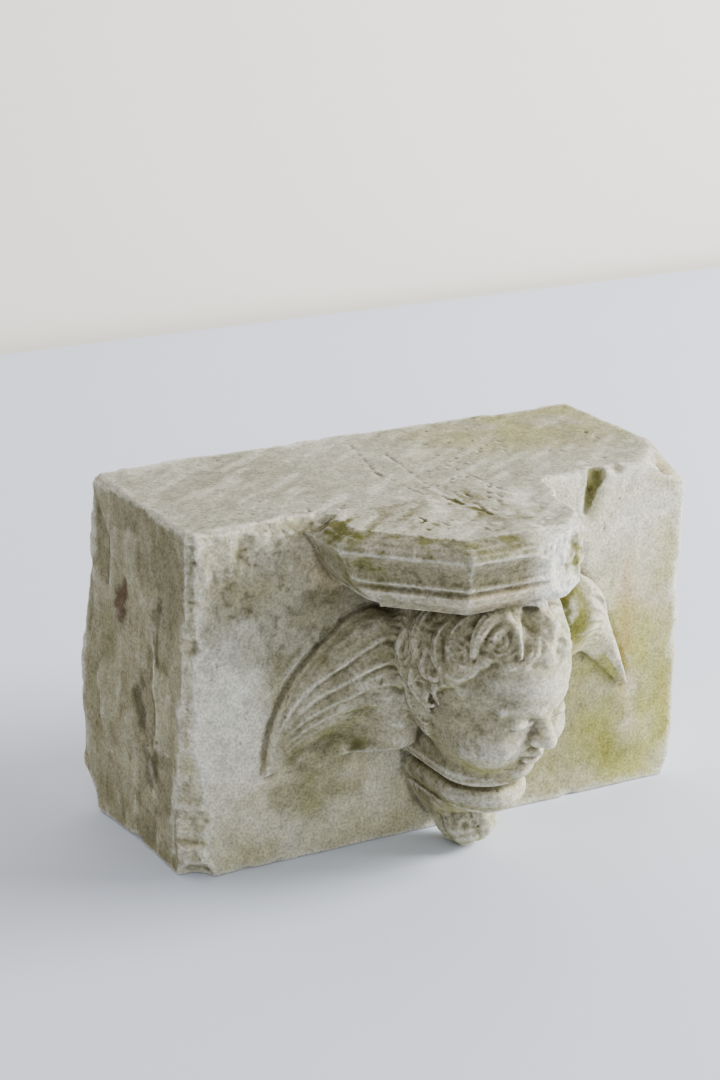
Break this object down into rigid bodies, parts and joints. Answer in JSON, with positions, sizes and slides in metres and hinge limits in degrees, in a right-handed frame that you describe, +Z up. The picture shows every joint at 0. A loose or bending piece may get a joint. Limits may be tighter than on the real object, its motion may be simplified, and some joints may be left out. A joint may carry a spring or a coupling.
{
  "type": "carved stone corbel",
  "caption": "Rectangular limestone walling block with a moulded half-octagon top carried on a winged cherub head, collar and leaf drop.",
  "frame": {"origin": "middle of the lower bed, the plain face that the block stands on", "axes": "+X right along the carved front, +Y to the plain back, +Z up; the carving faces -Y"},
  "size_m": [0.395, 0.2654, 0.24],
  "materials": {
    "stone": "weathered pale limestone with a fine grain, thin algae and moss, and dirt in the carving"
  },
  "bodies": {
    "root": {"corbel": "stone"}
  },
  "joints": []
}
